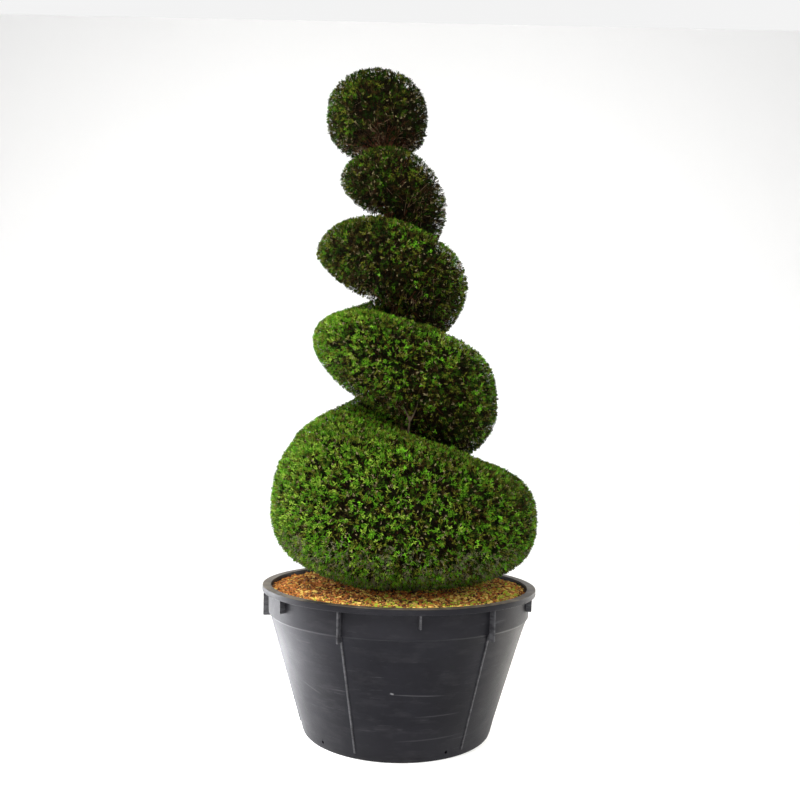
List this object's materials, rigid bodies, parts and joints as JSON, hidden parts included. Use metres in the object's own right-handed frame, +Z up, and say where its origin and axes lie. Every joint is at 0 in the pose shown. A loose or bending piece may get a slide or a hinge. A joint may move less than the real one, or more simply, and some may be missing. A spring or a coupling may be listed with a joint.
{
  "type": "clipped yew spiral topiary in a tub",
  "caption": "Tall evergreen clipped to a spiral: a round base, a rising coil and a ball on top, on a leaning trunk in a round plastic nursery tub full of soil.",
  "frame": {"origin": "centre of the tub's flat underside", "axes": "+Z up along the plant, -Y towards the front of the plant, +X to its right seen from the front"},
  "size_m": [1.1758, 1.178, 2.9344],
  "materials": {
    "tub_plastic": "moulded dark grey, slightly scuffed",
    "soil": "bark mulch on potting soil",
    "bark": "thin flaking reddish bark",
    "foliage": "clipped needle sprays"
  },
  "bodies": {
    "root": {"tub": "tub_plastic", "soil": "soil", "trunk": "bark", "bough_bun_1": "bark", "foliage_bun_1": "foliage", "bough_bun_2": "bark", "foliage_bun_2": "foliage", "bough_bun_3": "bark", "foliage_bun_3": "foliage", "bough_coil_1": "bark", "foliage_coil_1": "foliage", "bough_coil_2": "bark", "foliage_coil_2": "foliage", "bough_coil_3": "bark", "foliage_coil_3": "foliage", "bough_coil_4": "bark", "foliage_coil_4": "foliage", "bough_coil_5": "bark", "foliage_coil_5": "foliage", "bough_coil_6": "bark", "foliage_coil_6": "foliage", "bough_coil_7": "bark", "foliage_coil_7": "foliage", "bough_coil_8": "bark", "foliage_coil_8": "foliage", "foliage_ball": "foliage"}
  },
  "joints": []
}
